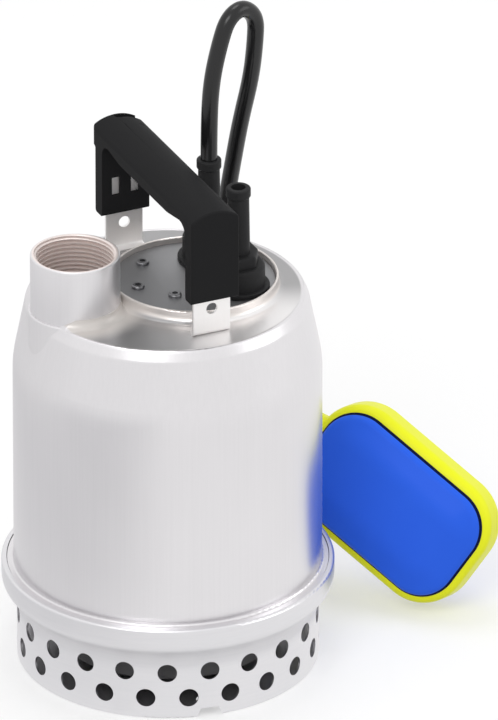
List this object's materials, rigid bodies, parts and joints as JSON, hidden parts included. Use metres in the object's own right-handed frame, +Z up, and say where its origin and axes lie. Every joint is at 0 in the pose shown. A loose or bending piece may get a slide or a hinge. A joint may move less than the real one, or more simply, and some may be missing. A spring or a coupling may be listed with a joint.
{
  "type": "submersible sump pump",
  "caption": "Upright submersible sump pump in a steel sleeve with a top discharge socket, carrying handle, slotted strainer foot and tethered float switch.",
  "frame": {"origin": "on the floor, under the axis of the stainless sleeve", "axes": "+Z up along the sleeve, discharge socket towards -X, handle along Y"},
  "size_m": [0.2567, 0.1722, 0.3416],
  "materials": {
    "stainless": "satin brushed stainless steel",
    "black_plastic": "moulded black plastic, matte",
    "cable_rubber": "black rubber cable sheath, slightly glossy",
    "seal_rubber": "black nitrile rubber",
    "cover_metal": "grey satin metal",
    "screw_steel": "plated steel",
    "yellow_plastic": "glossy yellow plastic",
    "blue_plastic": "glossy blue plastic",
    "core_steel": "laminated core steel",
    "copper": "enamelled copper wire",
    "aluminium_cast": "die-cast aluminium",
    "bearing_steel": "ground bearing steel",
    "brass_contact": "brass pins",
    "white_plastic": "moulded insulating plastic",
    "seal_ceramic": "ground ceramic"
  },
  "bodies": {
    "pump": {"pump_sleeve": "stainless", "discharge_socket": "stainless", "motor_can": "stainless", "top_cover": "cover_metal", "cover_screws": "screw_steel", "handle_strap": "stainless", "handle_grip": "black_plastic", "gland_gasket": "seal_rubber", "gland_housing": "black_plastic", "gland_boot": "black_plastic", "contact_block": "white_plastic", "contact_pins": "brass_contact", "casing_plate": "aluminium_cast", "casing_seal": "seal_rubber", "pump_casing": "black_plastic", "casing_screws": "screw_steel", "lower_bearing_outer_ring": "bearing_steel", "upper_bearing_outer_ring": "bearing_steel", "shaft_seal_seat": "seal_ceramic", "stator_core": "core_steel", "stator_winding": "copper", "lower_bearing_bracket": "aluminium_cast", "upper_bearing_bracket": "aluminium_cast", "motor_tie_bolts": "screw_steel", "capacitor": "white_plastic", "capacitor_clip": "screw_steel", "thermal_protector": "white_plastic", "float_cable": "cable_rubber"},
    "rotor": {"impeller": "black_plastic", "impeller_nut": "screw_steel", "shaft": "screw_steel", "rotor_core": "core_steel", "rotor_end_rings": "aluminium_cast", "lower_bearing_inner_ring": "bearing_steel", "upper_bearing_inner_ring": "bearing_steel", "shaft_seal_ring": "seal_rubber"},
    "lower_cage": {"lower_bearing_balls": "bearing_steel"},
    "upper_cage": {"upper_bearing_balls": "bearing_steel"},
    "strainer": {"inlet_strainer": "stainless"},
    "float": {"float_band": "yellow_plastic", "float_front_shell": "blue_plastic", "float_back_shell": "blue_plastic", "float_cable_seal": "seal_rubber", "float_switch_body": "white_plastic", "float_ball_tube": "white_plastic"},
    "rolling_ball": {"float_ball": "bearing_steel"},
    "lever": {"float_switch_lever": "screw_steel"}
  },
  "joints": [
    {"name": "rotor_spin", "type": "hinge", "parent": "pump", "child": "rotor", "pos_m": [0.0145, 0, 0.1], "axis": [0, 0, 1], "continuous": true},
    {"name": "lower_cage_spin", "type": "hinge", "parent": "pump", "child": "lower_cage", "pos_m": [0.0145, 0, 0.0715], "axis": [0, 0, 1], "continuous": true},
    {"name": "upper_cage_spin", "type": "hinge", "parent": "pump", "child": "upper_cage", "pos_m": [0.0145, 0, 0.162], "axis": [0, 0, 1], "continuous": true},
    {"name": "strainer_pull", "type": "slide", "parent": "pump", "child": "strainer", "axis": [0, 0, -1], "range_m": [0, 0.06]},
    {"name": "float_tilt", "type": "hinge", "parent": "pump", "child": "float", "pos_m": [0.09465, 0.05975, 0.08542], "axis": [-0.6686, -0.6743, 0.3134], "range_deg": [0, 75], "deforming": ["float_cable"]},
    {"name": "ball_roll", "type": "slide", "parent": "float", "child": "rolling_ball", "axis": [-0.4979, 0.7191, 0.4848], "range_m": [0, 0.039]},
    {"name": "switch_lever_tilt", "type": "hinge", "parent": "float", "child": "lever", "pos_m": [0.11631, 0.01748, 0.06207], "axis": [0.5523, -0.1681, 0.8165], "range_deg": [0, 8]}
  ],
  "couplings": [
    {"joint": "lower_cage_spin", "follows": "rotor_spin", "ratio": 0.3849},
    {"joint": "upper_cage_spin", "follows": "rotor_spin", "ratio": 0.3682},
    {"joint": "switch_lever_tilt", "follows": "ball_roll", "rad_per_m": 3.577}
  ]
}
